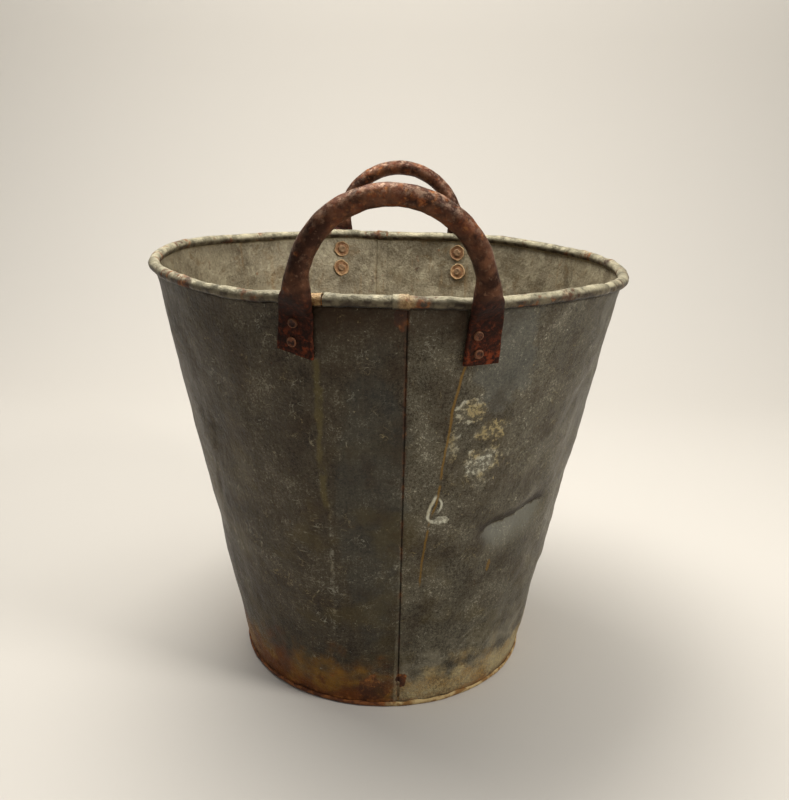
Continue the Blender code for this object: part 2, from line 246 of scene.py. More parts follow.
# Dents of the rim roll: azimuth and half width in degrees, angle round the roll and its reach, depth.
RIM_DENTS = [
    (-6.5, 5.0, 20, 55, 0.0010), (-11.3, 0.9, 100, 70, -0.0008), (8.0, 3.0, 60, 60, 0.0006),
    (34, 4.0, 90, 70, 0.0008), (58, 5.0, 40, 60, 0.0011), (100, 6.0, 100, 70, 0.0009),
    (-40, 6.0, 70, 70, 0.0008), (-66, 4.0, 30, 60, 0.0010), (-110, 5.0, 90, 70, 0.0009),
    (150, 5.0, 100, 70, 0.0008), (172, 3.0, 80, 70, 0.0007), (-150, 5.0, 60, 60, 0.0010),
]


def rivet_zone(azimuth, z):
    """1 where a handle's foot is clamped to the wall, so that the sheet stays true there."""
    held = np.zeros(np.broadcast(azimuth, z).shape)
    for handle in HANDLES.values():
        for low_x, high_x, _, _ in handle["feet"].values():
            x = (low_x + high_x) / 2
            foot = atan2(x, sqrt(wall_radius(0.395) ** 2 - x * x))
            foot = foot if handle["side"] < 0 else pi - foot
            away = away_from(azimuth, foot)
            across = np.abs(away) * wall_radius(z)
            held = np.maximum(held, (1 - smoothstep(0.017, 0.030, across)) * smoothstep(0.345, 0.370, z))
    return held


def sheet_damage(azimuth, z):
    """Depth of the dents and creases, inwards, at points of the wall, and a mask of their sides for painted
    shade with soil above and a painted highlight below.

    The second array is positive just above a deep crease, where painted shade and soil go, and negative
    below, where a painted highlight goes.
    """
    depth = np.zeros(np.broadcast(azimuth, z).shape)
    crease_soil_shade_and_highlight = np.zeros(depth.shape)
    for centre, height, half_w, half_h, deep in DENTS:
        away = away_from(azimuth, radians(centre))
        across = away * wall_radius(z)
        depth += deep * bump_of(np.sqrt((across / half_w) ** 2 + ((z - height) / half_h) ** 2))
    for az_a, z_a, az_b, z_b, deep, above, below in CREASES:
        middle = radians((az_a + az_b) / 2)
        around = wall_radius((z_a + z_b) / 2)
        away = away_from(azimuth, middle) * around
        start = np.array([(radians(az_a) - middle) * around, z_a])
        line = np.array([(radians(az_b) - middle) * around, z_b]) - start
        length = np.hypot(*line)
        line = line / length
        along = ((away - start[0]) * line[0] + (z - start[1]) * line[1]) / length
        off = (z - start[1]) * line[0] - (away - start[0]) * line[1]
        off = off + 0.10 * length * np.sin(along * pi) * 0.35
        reach = np.where(off > 0, above, below)
        ends = smoothstep(-0.15, 0.25, along) * (1 - smoothstep(0.75, 1.15, along))
        fall = ends * np.exp(-1.3 * np.abs(off / reach) - 0.5 * (off / reach) ** 2)
        depth += deep * fall
        # positive above each deep crease for painted shade with soil, negative below it for a painted
        # highlight
        crease_soil_shade_and_highlight += np.sign(off + 0.0006) * fall ** 0.6 * min(abs(deep) / 0.005, 1.0) * (deep > 0.0012)
    return depth, np.clip(crease_soil_shade_and_highlight, -1, 1)


def crust_share(azimuth, z):
    """How thick the corrosion stands, 0 to 1: low down, on the roll, in blots."""
    share = 0.9 * (1 - smoothstep(0.02, 0.085, z)) + 0.45 * smoothstep(0.415, 0.423, z)
    for centre, height, reach in ((22, 0.320, 0.034), (25, 0.279, 0.026), (14, 0.232, 0.014)):
        away = away_from(azimuth, radians(centre))
        across = away * wall_radius(z)
        share = share + bump_of(np.hypot(across, z - height) / reach)
    return np.clip(share, 0, 1)


def wall_push(points, azimuth, z):
    """Inward push of the sheet at points of the wall: dents, creases and general unevenness."""
    push, crease_soil_shade_and_highlight = sheet_damage(azimuth, z)
    rough_side = 0.6 + 0.4 * smoothstep(-0.02, 0.04, np.sin(azimuth))
    push = push + 0.0015 * grain(points, 0.070, 1) + 0.0015 * rough_side * grain(points, 0.032, 2)
    push = push + 0.0007 * rough_side * grain(points, 0.013, 3)
    push = push * smoothstep(0.006, 0.045, z) * (1 - smoothstep(0.405, 0.424, z))
    held = 1 - rivet_zone(azimuth, z)
    return push * held, crease_soil_shade_and_highlight * held


# ---------------- body panels
def body_profile():
    """Rows of the sheet's middle from its lower edge to the roll's end.

    Gives radius and height, the normal that points into the bucket (away from the wire on the roll),
    the angle round the roll (nan on the wall) and the length along the sheet.
    """
    along = np.array([sin(LEAN), cos(LEAN)])
    inward = np.array([-cos(LEAN), sin(LEAN)])
    rim = np.array([RIM_R, RIM_Z])
    rise = sqrt((BEND_R + ROLL_R) ** 2 - BEND_R ** 2)
    bend_z = RIM_Z - rise * cos(LEAN)
    spots, normals, angles = [], [], []
    for z in np.linspace(BODY_LOW_Z, bend_z, WALL_ROWS)[:-1]:
        spots.append(np.array([wall_radius(z), z]))
        normals.append(inward)
        angles.append(np.nan)
    bend_middle = rim - along * rise + inward * BEND_R
    swing = pi / 2 - atan2(BEND_R, rise)
    for share in np.linspace(0, 1, BEND_ROWS):
        out = -inward * cos(swing * share) + along * sin(swing * share)
        spots.append(bend_middle + out * BEND_R)
        normals.append(-out)
        angles.append(np.nan)
    start = 180 + degrees(atan2(rise, BEND_R))
    for angle in np.linspace(start, ROLL_END, ROLL_ROWS)[1:]:
        out = -inward * cos(radians(angle)) + along * sin(radians(angle))
        spots.append(rim + out * ROLL_R)
        normals.append(out)
        angles.append(angle)
    spots = np.array(spots)
    lengths = np.concatenate([[0], np.cumsum(np.hypot(*np.diff(spots, axis=0).T))])
    return spots, np.array(normals), np.array(angles), lengths


def panel_columns(radius, extra):
    """Azimuths of a panel's columns at one radius, from its tongue to its outer edge."""
    tongue = np.array([LAP_IN, 0.0062, 0.0085, 0.0110, 0.0138, JOG_START, 0.0174, 0.0179, 0.0183, JOG_END])
    edge = np.array([-0.004, -0.001, 0.002, LAP_IN, 0.008, 0.011, 0.014, 0.0157, LAP_OUT])
    first, last = radians(14), radians(172)
    body = np.arange(first, last, radians(0.78))
    body = np.sort(np.concatenate([body, extra]))
    run_in = np.linspace(JOG_END / radius, first, 14)[1:-1]
    run_out = np.linspace(last, pi + edge[0] / radius, 12)[:-1]
    return np.concatenate([tongue / radius, run_in, body, run_out, pi + edge / radius])


def jog_share(distance):
    return 1 - smoothstep(JOG_START, JOG_END, distance)


def panel(name, half_turn, node, material):
    spots, normals, angles, lengths = body_profile()
    radii = wall_radius(np.minimum(spots[:, 1], RIM_Z))
    split = half_turn > 0
    where = SPLIT_AZ + 2 * pi - half_turn
    sides = np.array([-0.0030, -0.0018, -0.0005, 0.0005, 0.0018, 0.0030]) / RIM_R
    extra = where + sides if split else np.array([])
    own = np.array([panel_columns(radius, extra) for radius in radii])
    rows, columns = own.shape
    step = jog_share(own * radii[:, None])
    z = np.repeat(spots[:, 1:2], columns, 1)
    roll = np.isfinite(angles)
    angle = np.where(roll, angles, 260.0)[:, None]
    if split:                                        # the crack gapes at the top of the roll
        left = np.argmin(np.abs(own[-1] - (where + sides[2])))
        gape = 0.0001 + 0.0010 * bump_of((angle[:, 0] - 78) / 34)
        for column, hand in ((left, -1), (left + 1, 1)):
            own[:, column] += hand * np.where(roll, gape, 0) / RIM_R
    azimuth = own + half_turn
    base = polar(spots[:, :1], azimuth, z)
    push, crease_soil_shade_and_highlight = wall_push(base, azimuth, z)
    for centre, half_w, around, reach, deep in RIM_DENTS:
        away = away_from(azimuth, radians(centre))
        mark = bump_of(away / radians(half_w)) * bump_of((angle - around) / (2.0 * reach))
        push = push - np.where(roll[:, None], deep * mark, 0)
    lumps = 0.00075 * grain(base, 0.017, 4) + 0.0004 * grain(base, 0.007, 5)
    push = push + np.where(roll[:, None], lumps + 0.00012, 0)
    push = push + step * (SHEET + LAP_GAP)
    radial = spots[:, :1] + normals[:, :1] * push
    middle = polar(radial, azimuth, z + normals[:, 1:2] * push)
    held = rivet_zone(azimuth, 0.40 + 0 * z)
    middle[..., 2] += rim_sway(azimuth) * smoothstep(0.40, 0.43, z) * (1 - held)
    middle = tilt(middle)

    down_rows = np.gradient(middle, axis=0)
    cross_columns = np.gradient(middle, axis=1)
    normal = np.cross(down_rows, cross_columns)
    normal /= np.linalg.norm(normal, axis=-1, keepdims=True)
    wanted = polar(normals[:, :1], azimuth, normals[:, 1:2])
    normal *= np.sign((normal * wanted).sum(-1, keepdims=True))
    outer = (middle - normal * SHEET / 2).reshape(-1, 3)
    inner = (middle + normal * SHEET / 2).reshape(-1, 3)

    keep = np.ones((rows - 1, columns - 1), bool)
    jogged = np.sum(step[0] > 0.001)
    keep[spots[:-1, 1] < NOTCH_Z, :jogged] = False
    if split:
        keep[roll[:-1] & (angle[:-1, 0] < 215), left] = False
    count = rows * columns
    faces = []
    edges = {}
    for i, j in zip(*np.nonzero(keep)):
        a = i * columns + j
        quad = (a, a + 1, a + columns + 1, a + columns)
        faces.append(quad)
        faces.append(tuple(k + count for k in quad[::-1]))
        for k in range(4):
            edge = (quad[k], quad[(k + 1) % 4])
            if edge[::-1] in edges:
                del edges[edge[::-1]]
            else:
                edges[edge] = True
    for a, b in edges:
        faces.append((b, a, a + count, b + count))
    skin = np.stack([(azimuth - (2 * pi if half_turn else 0)) * UV_R,
                     np.repeat(lengths[:, None], columns, 1)], -1).reshape(-1, 2)
    thing = put(name, np.concatenate([outer, inner]), faces, np.concatenate([skin, skin]), 50)
    nothing, crust = np.zeros(count), crust_share(azimuth, z).ravel()
    rolled = np.repeat(np.where(roll, 1.0, 0.0), columns)
    turn = np.repeat(angle[:, 0] / 360, columns)
    for label, outside, within in (
        ("roll", rolled, rolled), ("turn", turn, turn), ("inside", nothing, nothing + 1),
        ("crease_soil_shade_and_highlight", crease_soil_shade_and_highlight.ravel(), nothing), ("x", outer[:, 0], inner[:, 0]), ("crust", crust, crust),
    ):
        attribute(thing, label, np.concatenate([outside, within]))
    turn_outward(thing)
    finish_piece(thing, "body_steel", material, node)
    return thing


# ---------------- turned and swept pieces
def quads(rows, sides, first=0, wrap=False):
    """Faces between each closed row of points and the next."""
    faces = []
    for i in range(rows if wrap else rows - 1):
        a, b = first + i * sides, first + (i + 1) % rows * sides
        for k in range(sides):
            m = (k + 1) % sides
            faces.append((a + k, a + m, b + m, b + k))
    return faces


def ring_skin(outline, count, shift):
    """Closed solid turned about Z from a closed outline of (radius, height)."""
    outline = np.asarray(outline, float)
    around = np.arange(count) * 2 * pi / count
    points = polar(outline[None, :, 0], around[:, None], outline[None, :, 1])
    points = shift(points)
    faces = quads(count, len(outline), wrap=True)
    lengths = np.concatenate([[0], np.cumsum(np.hypot(*np.diff(outline, axis=0).T))])
    around = away_from(around, 0.0)
    skin = np.stack(np.broadcast_arrays(around[:, None] * UV_R, lengths[None]), -1).reshape(-1, 2)
    return points.reshape(-1, 3), faces, skin


def offset_outline(middle, half):
    """Closed outline of a bent sheet from its middle line, half a thickness to each side."""
    middle = np.asarray(middle, float)
    run = np.gradient(middle, axis=0)
    run /= np.hypot(run[:, 0], run[:, 1])[:, None]
    side = np.stack([run[:, 1], -run[:, 0]], -1)
    return np.concatenate([middle + side * half, (middle - side * half)[::-1]])


def base_middle():
    """Middle line of the base sheet: disc, bend, flange down inside the wall, hem round its edge."""
    along = np.array([sin(LEAN), cos(LEAN)])
    outward = np.array([cos(LEAN), -sin(LEAN)])
    wall_middle = np.array([float(wall_radius(BODY_LOW_Z)), BODY_LOW_Z])
    fold_r = SHEET + 0.0003
    flange_low = wall_middle - outward * fold_r
    flange_top = flange_low + along * ((BASE_Z - BASE_BEND_R - flange_low[1]) / along[1])
    bend_x = flange_top[0] - BASE_BEND_R / cos(LEAN)
    line = []
    for x in np.linspace(0.0004, bend_x, 60)[:-1]:
        line.append((x, BASE_Z + BASE_SAG * (1 - (x / bend_x) ** 2) - BASE_SAG))
    for angle in np.linspace(pi / 2, -LEAN, 9):
        line.append((bend_x + BASE_BEND_R * cos(angle), BASE_Z + BASE_BEND_R * (sin(angle) - 1)))
    bend_end = np.array(line[-1])
    for share in np.linspace(0, 1, 10)[1:-1]:
        line.append(tuple(bend_end * (1 - share) + flange_low * share))
    for angle in np.linspace(pi - LEAN, 2 * pi - LEAN, 13):
        spot = wall_middle + fold_r * np.array([cos(angle), sin(angle)])
        line.append((spot[0], max(spot[1], SHEET / 2)))
    for z in np.linspace(line[-1][1], HEM_TOP_Z - 0.0003, 5)[1:]:
        line.append((line[-1][0] + (z - line[-1][1]) * np.tan(LEAN), z))
    return np.array(line)


def base_piece(material):
    outline = offset_outline(base_middle(), SHEET / 2)

    def worn(points):
        far = np.hypot(points[..., 0], points[..., 1])
        rim = smoothstep(0.150, 0.1545, far) * (points[..., 2] < 0.012)
        ripple = 0.0006 * grain(points, 0.024, 11) + 0.0003 * grain(points, 0.008, 12)
        bead = 0.0008 * bump_of((points[..., 2] - 0.003) / 0.0034) * smoothstep(0.1535, 0.1545, far)
        scale = 1 + rim * (ripple + 0.0002 + bead) / np.maximum(far, 0.01)
        points[..., 0] *= scale
        points[..., 1] *= scale
        lip = smoothstep(0.0035, 0.0062, points[..., 2]) * rim
        points[..., 2] += lip * 0.0018 * grain(points, 0.012, 13)
        sag = (1 - smoothstep(0.10, 0.145, far)) * 0.003 * grain(points, 0.06, 14)
        points[..., 2] += np.where(points[..., 2] > 0.02, sag, 0)
        return points

    points, faces, skin = ring_skin(outline, BASE_STEPS, worn)
    thing = put("base_skin", points, faces, skin, 50)
    far = np.hypot(points[:, 0], points[:, 1])
    attribute(thing, "hem", ((far > 0.1515) & (points[:, 2] < 0.012)).astype(float))
    turn_outward(thing)
    finish_piece(thing, "base_steel", material, "base_pan")
    return thing


def wire_piece(material):
    angles = np.arange(WIRE_SIDES) * 2 * pi / WIRE_SIDES
    count, gap = WIRE_STEPS, 0.0005 / RIM_R
    around = np.linspace(radians(30) + gap, radians(390) - gap, count)
    centre = polar(RIM_R, around, RIM_Z)
    outward = polar(1.0, around, 0.0)
    rings = centre[:, None] + (WIRE_R - 0.0002) * (
        outward[:, None] * np.cos(angles)[None, :, None]
        + np.array([0, 0, 1.0]) * np.sin(angles)[None, :, None])
    held = rivet_zone(around, np.full(count, 0.40))
    rings[..., 2] += (rim_sway(around) * (1 - held))[:, None]
    rings = tilt(rings)
    faces = quads(count, WIRE_SIDES)
    faces.append(tuple(reversed(range(WIRE_SIDES))))
    faces.append(tuple((count - 1) * WIRE_SIDES + k for k in range(WIRE_SIDES)))
    skin = np.stack(np.broadcast_arrays((around * UV_R)[:, None], angles[None] * WIRE_R), -1).reshape(-1, 2)
    thing = put("rim_wire_skin", rings.reshape(-1, 3), faces, skin, 60)
    finish_piece(thing, "wire_steel", material, "rim_wire")
    return thing


# ---------------- handles
def outer_radius(z):
    return float(wall_radius(z)) + SHEET / 2 / cos(LEAN)


def on_wall(x, z, side):
    radius = outer_radius(z)
    return Vector((x, side * sqrt(radius * radius - x * x), z))


def wall_normal(point):
    flat = hypot(point.x, point.y)
    return Vector((point.x / flat * cos(LEAN), point.y / flat * cos(LEAN), -sin(LEAN)))


def leg_stations(handle, foot):
    low_x, high_x, low_z, _ = handle["feet"][foot]
    hand = -1 if foot == "left" else 1
    spring_x = handle["middle"] + hand * handle["arch"]
    stations = []
    levels = [np.linspace(low_z, FOOT_TOP_Z, 14), np.linspace(FOOT_TOP_Z, SPRING_Z, 18)[1:]]
    for z in np.concatenate(levels):
        x = low_x + (high_x - low_x) * min((z - low_z) / (FOOT_TOP_Z - low_z), 1.0)
        x += (spring_x - x) * float(smoothstep(FOOT_TOP_Z, SPRING_Z, z))
        wall = on_wall(x, z, handle["side"])
        normal = wall_normal(wall)
        out = FOOT_OUT + (LEG_OUT - FOOT_OUT) * float(smoothstep(FOOT_TOP_Z, CLEAR_Z, z))
        stations.append((wall + normal * out, normal))
    return stations


def handle_stations(handle):
    legs = {foot: leg_stations(handle, foot) for foot in ("left", "right")}
    start, end = legs["left"][-1][0], legs["right"][-1][0]
    centre, across = (start + end) / 2, (end - start) / 2
    up = Vector((0.0, handle["side"] * sin(LEAN), cos(LEAN)))
    face = across.cross(up).normalized()
    if face.y * handle["side"] < 0:
        face = -face
    arch = []
    for share in np.linspace(0, 1, ARCH_STEPS)[1:-1]:
        angle = pi * (1 - share)
        arch.append((centre + across * cos(angle) + up * (handle["rise"] * sin(angle)), face))
    return legs["left"] + arch + legs["right"][::-1]


def tube_section(half_t, half_w, inset):
    angle = 2 * pi * (np.arange(TUBE_SIDES) + 0.5) / TUBE_SIDES
    flat = half_w - half_t
    radius = half_t - inset
    push = flat * np.clip(np.cos(angle) * 6.0, -1, 1)
    return push + radius * np.cos(angle), radius * np.sin(angle)


def handle_piece(where, handle, material):
    stations = handle_stations(handle)
    middles = np.array([station[0] for station in stations])
    through = np.array([station[1] for station in stations])
    tangent = np.gradient(middles, axis=0)
    tangent /= np.linalg.norm(tangent, axis=1)[:, None]
    sideways = np.cross(tangent, through)
    sideways /= np.linalg.norm(sideways, axis=1)[:, None]
    through = np.cross(sideways, tangent)
    lengths = np.concatenate([[0], np.cumsum(np.linalg.norm(np.diff(middles, axis=0), axis=1))])
    total = lengths[-1]
    round_share = smoothstep(FOOT_TOP_Z - 0.002, ROUND_Z, middles[:, 2])
    half_t = FOOT_HALF_T + (TUBE_R - FOOT_HALF_T) * round_share
    half_w = TUBE_R + (FOOT_HALF_W - TUBE_R) * (1 - smoothstep(0.416, 0.456, middles[:, 2]))
    half_w = half_w + 0.0012 * (1 - smoothstep(0.375, 0.412, middles[:, 2]))
    layers = []
    for inset in (0.0, TUBE_WALL):
        rings = []
        for i in range(len(stations)):
            a, b = tube_section(half_t[i], half_w[i], inset)
            ring = middles[i] + np.outer(a, sideways[i]) + np.outer(b, through[i])
            from_start, from_end = lengths[i], total - lengths[i]
            for foot, near in (("left", from_start), ("right", from_end)):
                slope = handle["feet"][foot][3]
                fade = max(0.0, 1 - near / 0.022)
                lift = slope * fade * (ring[:, 0] - middles[i, 0])
                way = tangent[i] if foot == "left" else -tangent[i]
                ring = ring + np.outer(lift, way)
            rings.append(ring)
        layers.append(np.array(rings))
    outer = layers[0]
    centre = middles[:, None]
    away = outer - centre
    away /= np.linalg.norm(away, axis=-1, keepdims=True)
    hammered = 0.00045 * grain(outer, 0.014, 21) + 0.00025 * grain(outer, 0.0045, 22)
    hammered = hammered + 0.0005 * np.minimum(grain(outer, 0.0065, 23) + 0.12, 0)
    back = np.einsum("ijk,ik->ij", away, through) < -0.2
    calm = (1 - round_share)[:, None] * back
    outer = outer + away * (hammered * (1 - calm))[..., None]
    count, sides = outer.shape[:2]
    points = tilt(np.concatenate([outer.reshape(-1, 3), layers[1].reshape(-1, 3)]))
    inner = count * sides
    faces = quads(count, sides) + [quad[::-1] for quad in quads(count, sides, inner)]
    for i in (0, count - 1):
        for k in range(sides):
            a, b = i * sides + k, i * sides + (k + 1) % sides
            quad = (a, a + inner, b + inner, b)
            faces.append(quad if i == 0 else quad[::-1])
    turn = 2 * pi * (np.arange(sides) + 0.5) / sides
    skin = np.stack(np.broadcast_arrays(turn * TUBE_R, lengths[:, None]), -1).reshape(-1, 2)
    thing = put(f"{where}_handle_tube", points, faces, np.concatenate([skin, skin]), 55)
    attribute(thing, "foot", np.tile(np.repeat(1 - round_share, sides), 2))
    # upward-facing share of the tube, where the handle's painted highlight goes
    lit_upper_share = np.clip(away[..., 2], 0, 1).ravel()
    attribute(thing, "top", np.concatenate([lit_upper_share, 0 * lit_upper_share]))
    near_end = np.minimum(lengths, total - lengths)
    attribute(thing, "end", np.tile(np.repeat(near_end, sides), 2))
    attribute(thing, "z", points[:, 2])
    turn_outward(thing)
    finish_piece(thing, "handle_steel", material, f"{where}_handle")
    return thing


# ---------------- rivets and washers
def turned_solid(outline, steps, seed, rough):
    """Closed solid turned about Z, whose outline starts and ends on the axis or is a closed loop."""
    outline = np.asarray(outline, float)
    on_axis = outline[0, 0] == 0.0
    ring = outline[1:-1] if on_axis else outline
    around = np.arange(steps) * 2 * pi / steps
    points = np.stack([
        ring[None, :, 0] * np.cos(around)[:, None], ring[None, :, 0] * np.sin(around)[:, None],
        np.repeat(ring[None, :, 1], steps, 0)], -1)
    points = points.reshape(-1, 3)
    points[:, 2] += rough * grain(points, 0.0032, seed)
    squash = 1 + 1.2 * rough / 0.004 * grain(points * [1, 1, 0], 0.006, seed + 0.5)
    points[:, :2] *= squash[:, None]
    sides = len(ring)
    faces = []
    for i in range(steps):
        n = (i + 1) % steps
        for k in range(sides - 1 if on_axis else sides):
            m = (k + 1) % sides
            faces.append((i * sides + k, i * sides + m, n * sides + m, n * sides + k))
        if on_axis:
            faces.append((i * sides, n * sides, len(points)))
            faces.append((n * sides + sides - 1, i * sides + sides - 1, len(points) + 1))
    if on_axis:
        caps = outline[[0, -1]] @ np.array([[1, 0, 0], [0, 0, 1.0]])
        points = np.concatenate([points, caps])
    return points, faces


def rounded(corners, radius, steps=4):
    """Outline with each inner corner rounded."""
    corners = [Vector(c) for c in corners]
    out = [tuple(corners[0])]
    for before, corner, after in zip(corners, corners[1:], corners[2:]):
        a, b = (before - corner), (after - corner)
        reach = min(radius, 0.45 * a.length, 0.45 * b.length)
        start, end = corner + a.normalized() * reach, corner + b.normalized() * reach
        for i in range(steps + 1):
            t = i / steps
            out.append(tuple(start * (1 - t) ** 2 + corner * 2 * t * (1 - t) + end * t * t))
    out.append(tuple(corners[-1]))
    return out


def rivet_outline():
    seat = 2 * FOOT_HALF_T + 0.0003
    tail = -SHEET - 0.0019
    return rounded([
        (0.0, seat + 0.0012), (0.0022, seat + 0.0013), (0.0032, seat + 0.0019), (0.0042, seat + 0.0012),
        (0.0043, seat), (0.0026, seat - 0.0002), (0.0025, tail), (0.0045, tail + 0.0001),
        (0.0046, tail - 0.0010), (0.0033, tail - 0.0017), (0.0014, tail - 0.0015), (0.0, tail - 0.0014),
    ], 0.0005)


def washer_outline(radius):
    top = -SHEET - 0.0003
    return rounded([
        (0.0030, top - 0.0004), (radius - 0.003, top - 0.0005), (radius - 0.0002, top - 0.0002),
        (radius, top - 0.0012), (radius - 0.0007, top - 0.0022), (radius - 0.0016, top - 0.0019),
        (radius - 0.0027, top - 0.0013), (0.0052, top - 0.0013), (0.0030, top - 0.0016),
    ], 0.0004)[:-1] + [(0.0030, top - 0.0014)]


def fasteners(rivet_finish, washer_finish):
    seed = 40
    for where, handle in HANDLES.items():
        for foot in ("left", "right"):
            for level in ("lower", "upper"):
                label = f"{where}_{foot}_{level}"
                low, high = (Vector(corner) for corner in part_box(f"{label}_rivet"))
                centre = (low + high) / 2
                spot = on_wall(centre.x, centre.z, handle["side"])
                normal = wall_normal(spot)
                spot = on_wall(centre.x - normal.x * 0.0007, centre.z - normal.z * 0.0007, handle["side"])
                stand = Vector((0, 0, 1)).rotation_difference(normal).to_matrix()
                for kind, outline, finish in (
                    ("rivet", rivet_outline(), rivet_finish),
                    ("washer", washer_outline(handle["washer"]), washer_finish),
                ):
                    seed += 1
                    points, faces = turned_solid(outline, RIVET_STEPS, seed, RIVET_ROUGH)
                    turned = np.array([tuple(stand @ Vector(p) + spot) for p in points])
                    thing = put(f"{label}_{kind}_skin", tilt(turned), faces, points[:, :2], 45)
                    attribute(thing, "rise", points[:, 2] * 200)
                    attribute(thing, "far", np.hypot(points[:, 0], points[:, 1]) * 100)
                    turn_outward(thing)
                    finish_piece(thing, f"{kind}_steel", finish, f"{label}_{kind}")


# ---------------- material tools
class Value:
    """A shader socket that takes part in sums."""

    def __init__(self, graph, socket):
        self.graph, self.socket = graph, socket

    def __add__(self, other):
        return self.graph.math("ADD", self, other)

    def __sub__(self, other):
        return self.graph.math("SUBTRACT", self, other)

    def __rsub__(self, other):
        return self.graph.math("SUBTRACT", other, self)

    def __mul__(self, other):
        return self.graph.math("MULTIPLY", self, other)

    __radd__, __rmul__ = __add__, __mul__


def colour(red, green, blue):
    """Linear colour from 0-255 screen values."""
    parts = (c / 255 for c in (red, green, blue))
    return tuple(c / 12.92 if c <= 0.04045 else ((c + 0.055) / 1.055) ** 2.4 for c in parts) + (1.0,)


class Graph:
    """A procedural material under construction, with the base colour laid so far."""

    def __init__(self, name):
        self.material = bpy.data.materials.new(name)
        self.material.use_nodes = True
        self.tree = self.material.node_tree
        self.tree.nodes.clear()
        self.base = None
        self.place = self.node("TexCoord").outputs["Object"]
        self.skin = self.node("UVMap", uv_map="skin").outputs[0]
        self.u, self.v = self.attribute("u_metres"), self.attribute("v_metres")

    def node(self, kind, inputs=(), **settings):
        """New node with its settings, and its inputs fed by name or number."""
        node = self.tree.nodes.new("ShaderNode" + kind)
        for name, setting in settings.items():
            setattr(node, name, setting)
        for socket, value in dict(inputs).items():
            value = value.socket if isinstance(value, Value) else value
            if isinstance(value, bpy.types.NodeSocket):
                self.tree.links.new(value, node.inputs[socket])
            else:
                node.inputs[socket].default_value = value
        return node

    def value(self, output, kind, inputs=(), **settings):
        return Value(self, self.node(kind, inputs, **settings).outputs[output])

    def math(self, kind, a, b=0.0, clamp=False):
        return self.value(0, "Math", enumerate((a, b)), operation=kind, use_clamp=clamp)

    def step(self, value, low, high):
        """Smooth step from 0 at low to 1 at high."""
        ends = (high, low, 1.0, 0.0) if low > high else (low, high, 0.0, 1.0)
        names = ("Value", "From Min", "From Max", "To Min", "To Max")
        return self.value("Result", "MapRange", zip(names, (value, *ends)), interpolation_type="SMOOTHSTEP")

    def stretch(self, vector, x, y, z):
        return self.node("Mapping", {"Vector": vector, "Scale": (x, y, z)}).outputs[0]

    def cloud(self, size, detail=3.0, vector=None, seed=0.0, rough=0.55, twist=0.0):
        """Noise from 0 to 1, with lumps of a size in metres."""
        vector = self.place if vector is None else vector
        if seed:
            vector = self.node("Mapping", {"Vector": vector, "Location": (seed, seed * 0.37, 0)}).outputs[0]
        return self.value("Fac", "TexNoise", {
            "Vector": vector, "Scale": 1.0 / size,
            "Detail": detail, "Roughness": rough, "Distortion": twist})

    def cells(self, size):
        """Random value of the crystal that a point lies in."""
        node = self.node("TexVoronoi", {"Vector": self.place, "Scale": 1.0 / size})
        return self.value(0, "SeparateColor", {0: node.outputs["Color"]})

    def blots(self, low, high, *shape, **looks):
        """Cloud cut to 0 below low and 1 above high."""
        return self.step(self.cloud(*shape, **looks), low, high)

    def jitter(self, reach, *shape, **looks):
        """Cloud centred on 0, half the reach to each side."""
        return (self.cloud(*shape, **looks) - 0.5) * reach

    def most(self, value, *others, clamp=False):
        for other in others:
            value = self.math("MAXIMUM", value, other, clamp)
        return value

    def attribute(self, name):
        return self.value("Fac", "Attribute", attribute_name=name)

    def mix(self, share, under, over):
        """Mix of two colours, each a Value or 0-255 screen values."""
        under, over = (colour(*tone) if isinstance(tone, tuple) else tone for tone in (under, over))
        return self.value(2, "Mix", {0: share, 6: under, 7: over}, data_type="RGBA")

    def coat(self, share, tone):
        """Lays a tone over the base colour."""
        self.base = self.mix(share, self.base, tone)

    def blend(self, share, under, over):
        return self.value(0, "Mix", {0: share, 2: under, 3: over})

    def patch(self, azimuth, z, half_w, half_h, ragged=0.5, size=0.008, seed=0.0):
        """Ragged blot on the wall: centre in degrees and metres, half sizes in metres."""
        at_u, at_v = skin_spot(azimuth, z)
        squeeze = UV_R / float(wall_radius(z))
        across = (self.u - at_u) * (1 / (half_w * squeeze))
        along = (self.v - at_v) * (1 / half_h)
        far = self.math("SQRT", across * across + along * along)
        return self.step(1.0 - far + (self.cloud(size, 4, seed=seed) - 0.5) * (2 * ragged), 0.0, 0.22)

    def run(self, path, width, ragged=1.0, seed=0.0):
        """Thin trickle down the wall along (azimuth, height) points."""
        spots = sorted((skin_spot(a, z)[::-1] for a, z in path))
        node = self.node("FloatCurve")
        curve = node.mapping.curves[0]
        low, high = spots[0][0], spots[-1][0]
        for i, (at_v, at_u) in enumerate(spots):
            x, y = (at_v - low) / (high - low), 0.5 + at_u
            if i in (0, len(spots) - 1):
                curve.points[0 if i == 0 else -1].location = (x, y)
            else:
                curve.points.new(x, y)
        node.mapping.update()
        share = (self.v - low) * (1 / (high - low))
        self.tree.links.new(share.socket, node.inputs["Value"])
        wobble = (self.cloud(0.012, 3, seed=seed) - 0.5) * (width * 1.6 * ragged)
        off = self.math("ABSOLUTE", self.u - (Value(self, node.outputs[0]) - 0.5) + wobble)
        body = 1.0 - self.step(off, width * 0.25, width)
        ends = self.step(self.v, low - 0.004, low + 0.006)
        ends = ends * (1.0 - self.step(self.v, high - 0.002, high + 0.003))
        breaks = self.step(self.cloud(0.017, 3, seed=seed + 3), 0.28, 0.48)
        return body * ends * breaks

    def close(self, metallic, roughness, height, depth, shine=0.3):
        bump = self.node("Bump", {"Distance": depth, "Strength": 0.9, "Height": height})
        surface = self.node("BsdfPrincipled", {
            "Base Color": self.base, "Metallic": metallic, "Roughness": roughness,
            "Specular IOR Level": shine, "Normal": bump.outputs[0]})
        self.node("OutputMaterial", {0: surface.outputs[0]})
        return self.material


def skin_spot(azimuth, z):
    """Skin map position of a spot on the wall, from degrees and metres."""
    return radians(azimuth) * UV_R, (z - BODY_LOW_Z) / cos(LEAN)


